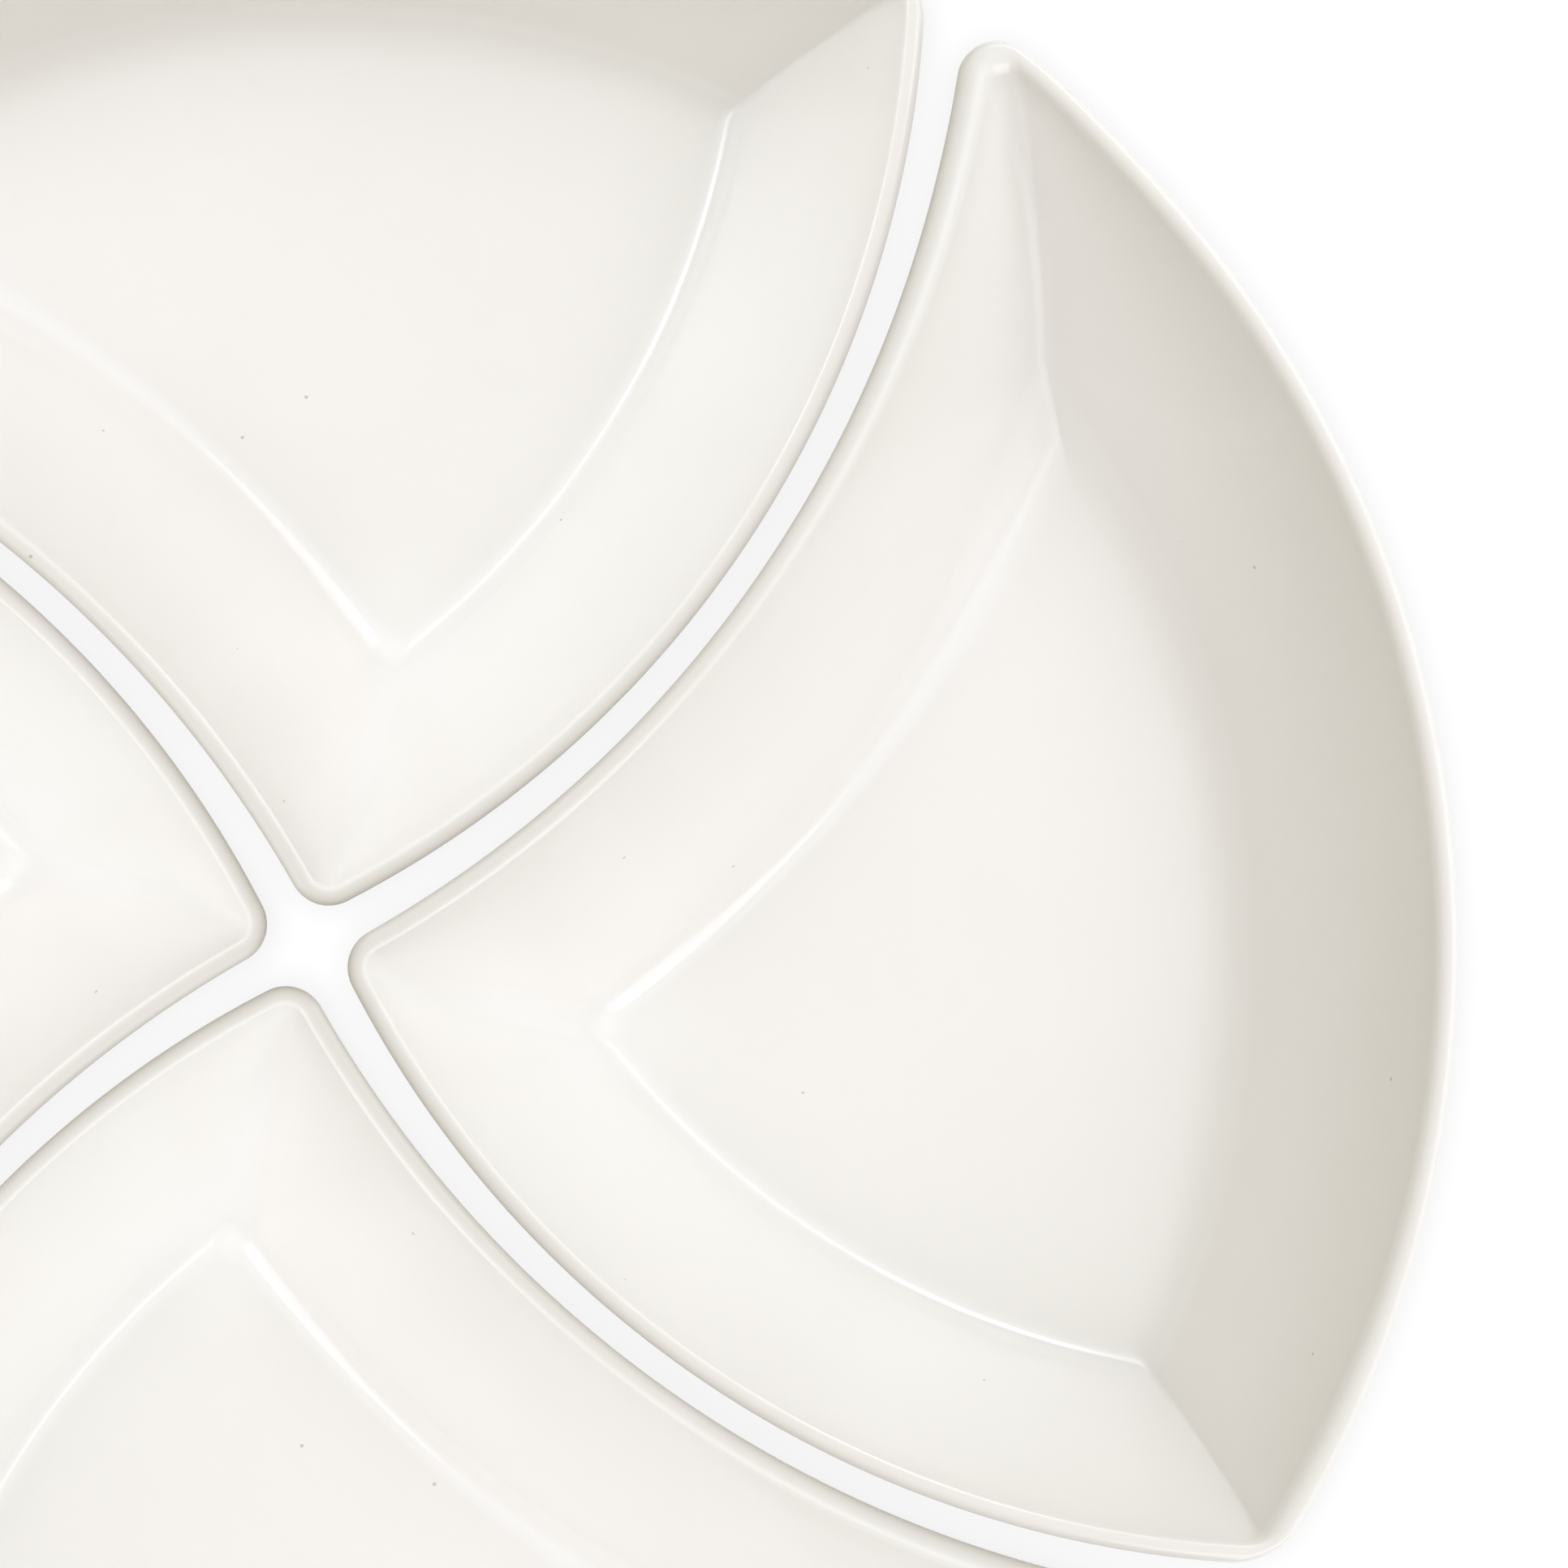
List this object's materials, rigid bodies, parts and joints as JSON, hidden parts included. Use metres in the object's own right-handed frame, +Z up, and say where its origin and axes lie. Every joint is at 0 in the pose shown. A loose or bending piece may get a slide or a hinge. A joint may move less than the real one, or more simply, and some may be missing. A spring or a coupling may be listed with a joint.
{
  "type": "nesting dip bowl set",
  "caption": "Fan-shaped glazed porcelain dip bowls with sloping walls, a rounded lip and a low foot, nesting together in a pinwheel.",
  "frame": {"origin": "middle of the pinwheel on the table, under the point where the four gaps meet", "axes": "+Z up; +X toward the right bowl and +Y toward the rear bowl, as right and up in the picture's straight-down view"},
  "size_m": [0.24, 0.24, 0.037],
  "materials": {
    "porcelain": "gloss"
  },
  "bodies": {
    "right_bowl": {"right_bowl": "porcelain"},
    "rear_bowl": {"rear_bowl": "porcelain"},
    "left_bowl": {"left_bowl": "porcelain"},
    "front_bowl": {"front_bowl": "porcelain"}
  },
  "joints": [
    {"name": "rear_bowl_lift", "type": "slide", "parent": "right_bowl", "child": "rear_bowl", "axis": [0, 0, 1], "range_m": [0, 0.06]},
    {"name": "left_bowl_lift", "type": "slide", "parent": "right_bowl", "child": "left_bowl", "axis": [0, 0, 1], "range_m": [0, 0.06]},
    {"name": "front_bowl_lift", "type": "slide", "parent": "right_bowl", "child": "front_bowl", "axis": [0, 0, 1], "range_m": [0, 0.06]}
  ]
}
